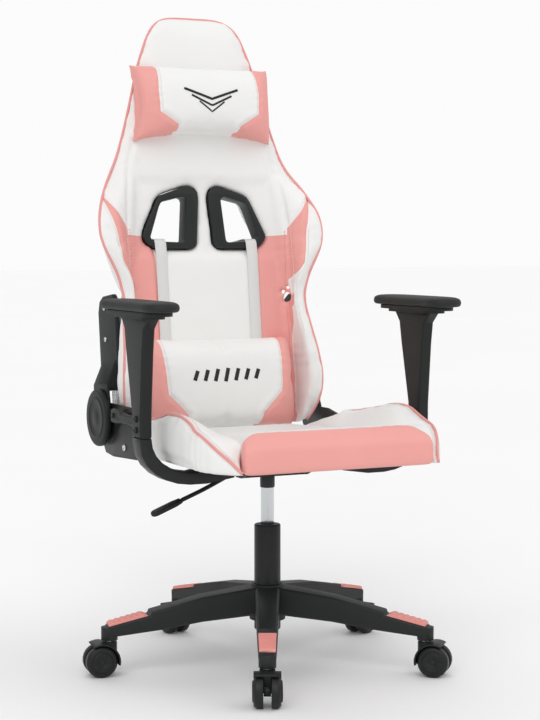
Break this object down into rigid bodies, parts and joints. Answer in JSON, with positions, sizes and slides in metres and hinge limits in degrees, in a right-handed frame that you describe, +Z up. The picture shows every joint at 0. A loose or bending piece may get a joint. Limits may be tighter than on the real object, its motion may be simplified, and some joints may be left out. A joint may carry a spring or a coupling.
{
  "type": "gaming chair",
  "caption": "Racing-style gaming chair: winged reclining back, bucket seat, fixed armrests, gas lift and a five-star base on twin-wheel casters.",
  "frame": {"origin": "on the floor under the middle of the whole chair's footprint", "axes": "+Z up, -Y the way the chair faces, +X to the sitter's left"},
  "size_m": [0.6748, 0.7356, 1.2561],
  "materials": {
    "white_leather": "smooth artificial leather, semi-matt",
    "pink_and_white_leather": "smooth artificial leather in two colours",
    "pink_plastic": "ribbed",
    "black_plastic": "fine moulded grain",
    "black_steel": "powder coated",
    "bright_steel": "polished",
    "webbing": "woven"
  },
  "bodies": {
    "base": {"star_base": "black_plastic", "foot_grip_1": "pink_plastic", "foot_grip_2": "pink_plastic", "foot_grip_3": "pink_plastic", "foot_grip_4": "pink_plastic", "foot_grip_5": "pink_plastic", "gas_lift_tube": "black_steel"},
    "caster_1": {"caster_stem_1": "bright_steel", "caster_hood_1": "black_plastic"},
    "wheel_1_left": {"caster_wheel_1_left": "black_plastic"},
    "wheel_1_right": {"caster_wheel_1_right": "black_plastic"},
    "caster_2": {"caster_stem_2": "bright_steel", "caster_hood_2": "black_plastic"},
    "wheel_2_left": {"caster_wheel_2_left": "black_plastic"},
    "wheel_2_right": {"caster_wheel_2_right": "black_plastic"},
    "caster_3": {"caster_stem_3": "bright_steel", "caster_hood_3": "black_plastic"},
    "wheel_3_left": {"caster_wheel_3_left": "black_plastic"},
    "wheel_3_right": {"caster_wheel_3_right": "black_plastic"},
    "caster_4": {"caster_stem_4": "bright_steel", "caster_hood_4": "black_plastic"},
    "wheel_4_left": {"caster_wheel_4_left": "black_plastic"},
    "wheel_4_right": {"caster_wheel_4_right": "black_plastic"},
    "caster_5": {"caster_stem_5": "bright_steel", "caster_hood_5": "black_plastic"},
    "wheel_5_left": {"caster_wheel_5_left": "black_plastic"},
    "wheel_5_right": {"caster_wheel_5_right": "black_plastic"},
    "piston": {"piston_rod": "bright_steel"},
    "seat": {"gas_cylinder": "bright_steel", "lift_plate": "black_steel", "seat_frame": "black_steel", "seat_pad": "pink_and_white_leather", "seat_bolster_right": "white_leather", "seat_bolster_left": "white_leather", "seat_bracket_right": "black_steel", "seat_bracket_left": "black_steel", "arm_leg_right": "black_steel", "arm_leg_left": "black_steel", "arm_post_right": "black_plastic", "arm_post_left": "black_plastic", "arm_pad_right": "black_plastic", "arm_pad_left": "black_plastic", "recline_spring": "bright_steel"},
    "release_button": {"release_button": "bright_steel"},
    "height_lever": {"height_lever_rod": "black_steel", "height_lever_paddle": "black_plastic"},
    "recline_lever": {"recline_lever": "black_plastic"},
    "backrest": {"back_cushion": "white_leather", "back_frame": "black_steel", "back_cover": "white_leather", "harness_bezel_right": "black_plastic", "harness_bezel_left": "black_plastic", "lumbar_strap_right": "webbing", "lumbar_strap_left": "webbing", "back_bracket_right": "black_plastic", "back_bracket_left": "black_plastic", "hinge_cap_right": "black_plastic", "hinge_cap_left": "black_plastic"},
    "lumbar_cushion": {"lumbar_cushion": "pink_and_white_leather"},
    "headrest_pillow": {"headrest_pillow": "pink_and_white_leather"}
  },
  "joints": [
    {"name": "caster_swivel_1", "type": "hinge", "parent": "base", "child": "caster_1", "pos_m": [-0.11908, -0.31693, 0.07], "axis": [0, 0, 1], "continuous": true},
    {"name": "wheel_spin_1_left", "type": "hinge", "parent": "caster_1", "child": "wheel_1_left", "pos_m": [-0.12697, -0.33311, 0.02875], "axis": [0.8988, -0.4384, 0], "continuous": true},
    {"name": "wheel_spin_1_right", "type": "hinge", "parent": "caster_1", "child": "wheel_1_right", "pos_m": [-0.12697, -0.33311, 0.02875], "axis": [0.8988, -0.4384, 0], "continuous": true},
    {"name": "caster_swivel_2", "type": "hinge", "parent": "base", "child": "caster_2", "pos_m": [0.23634, -0.25426, 0.07], "axis": [0, 0, 1], "continuous": true},
    {"name": "wheel_spin_2_left", "type": "hinge", "parent": "caster_2", "child": "wheel_2_left", "pos_m": [0.24929, -0.26676, 0.02875], "axis": [0.6947, 0.7193, 0], "continuous": true},
    {"name": "wheel_spin_2_right", "type": "hinge", "parent": "caster_2", "child": "wheel_2_right", "pos_m": [0.24929, -0.26676, 0.02875], "axis": [0.6947, 0.7193, 0], "continuous": true},
    {"name": "caster_swivel_3", "type": "hinge", "parent": "base", "child": "caster_3", "pos_m": [0.28656, 0.10313, 0.07], "axis": [0, 0, 1], "continuous": true},
    {"name": "wheel_spin_3_left", "type": "hinge", "parent": "caster_3", "child": "wheel_3_left", "pos_m": [0.30246, 0.11158, 0.02875], "axis": [-0.4695, 0.8829, 0], "continuous": true},
    {"name": "wheel_spin_3_right", "type": "hinge", "parent": "caster_3", "child": "wheel_3_right", "pos_m": [0.30246, 0.11158, 0.02875], "axis": [-0.4695, 0.8829, 0], "continuous": true},
    {"name": "caster_swivel_4", "type": "hinge", "parent": "base", "child": "caster_4", "pos_m": [-0.03781, 0.26134, 0.07], "axis": [0, 0, 1], "continuous": true},
    {"name": "wheel_spin_4_left", "type": "hinge", "parent": "caster_4", "child": "wheel_4_left", "pos_m": [-0.04094, 0.27906, 0.02875], "axis": [-0.9848, -0.1736, 0], "continuous": true},
    {"name": "wheel_spin_4_right", "type": "hinge", "parent": "caster_4", "child": "wheel_4_right", "pos_m": [-0.04094, 0.27906, 0.02875], "axis": [-0.9848, -0.1736, 0], "continuous": true},
    {"name": "caster_swivel_5", "type": "hinge", "parent": "base", "child": "caster_5", "pos_m": [-0.28851, 0.00173, 0.07], "axis": [0, 0, 1], "continuous": true},
    {"name": "wheel_spin_5_left", "type": "hinge", "parent": "caster_5", "child": "wheel_5_left", "pos_m": [-0.30634, 0.00423, 0.02875], "axis": [-0.1392, -0.9903, 0], "continuous": true},
    {"name": "wheel_spin_5_right", "type": "hinge", "parent": "caster_5", "child": "wheel_5_right", "pos_m": [-0.30634, 0.00423, 0.02875], "axis": [-0.1392, -0.9903, 0], "continuous": true},
    {"name": "seat_swivel", "type": "hinge", "parent": "base", "child": "piston", "pos_m": [0.0155, -0.041, 0.075], "axis": [0, 0, 1], "continuous": true},
    {"name": "seat_lift", "type": "slide", "parent": "piston", "child": "seat", "axis": [0, 0, 1], "range_m": [-0.06, 0.04]},
    {"name": "height_lever_lift", "type": "hinge", "parent": "seat", "child": "height_lever", "pos_m": [-0.0295, -0.041, 0.3794], "axis": [0, 1, 0], "range_deg": [0, 7], "stiffness_Nm_per_rad": 1.5, "springref_deg": -20.05},
    {"name": "release_button_press", "type": "slide", "parent": "seat", "child": "release_button", "axis": [0, 0, -1], "range_m": [0, 0.0063]},
    {"name": "recline_lever_lift", "type": "hinge", "parent": "seat", "child": "recline_lever", "pos_m": [-0.2195, 0.131, 0.468], "axis": [-1, 0, 0], "range_deg": [0, 14], "stiffness_Nm_per_rad": 0.6, "springref_deg": -22.92},
    {"name": "back_recline", "type": "hinge", "parent": "seat", "child": "backrest", "pos_m": [0.0155, 0.225, 0.455], "axis": [-1, 0, 0], "range_deg": [0, 45]},
    {"name": "lumbar_slide", "type": "slide", "parent": "backrest", "child": "lumbar_cushion", "axis": [0, 0.1167, 0.9932], "range_m": [0, 0.155]},
    {"name": "pillow_slide", "type": "slide", "parent": "backrest", "child": "headrest_pillow", "axis": [0, 0.1167, 0.9932], "range_m": [-0.028, 0.04]}
  ],
  "couplings": [
    {"joint": "release_button_press", "follows": "height_lever_lift", "m_per_rad": 0.05}
  ]
}
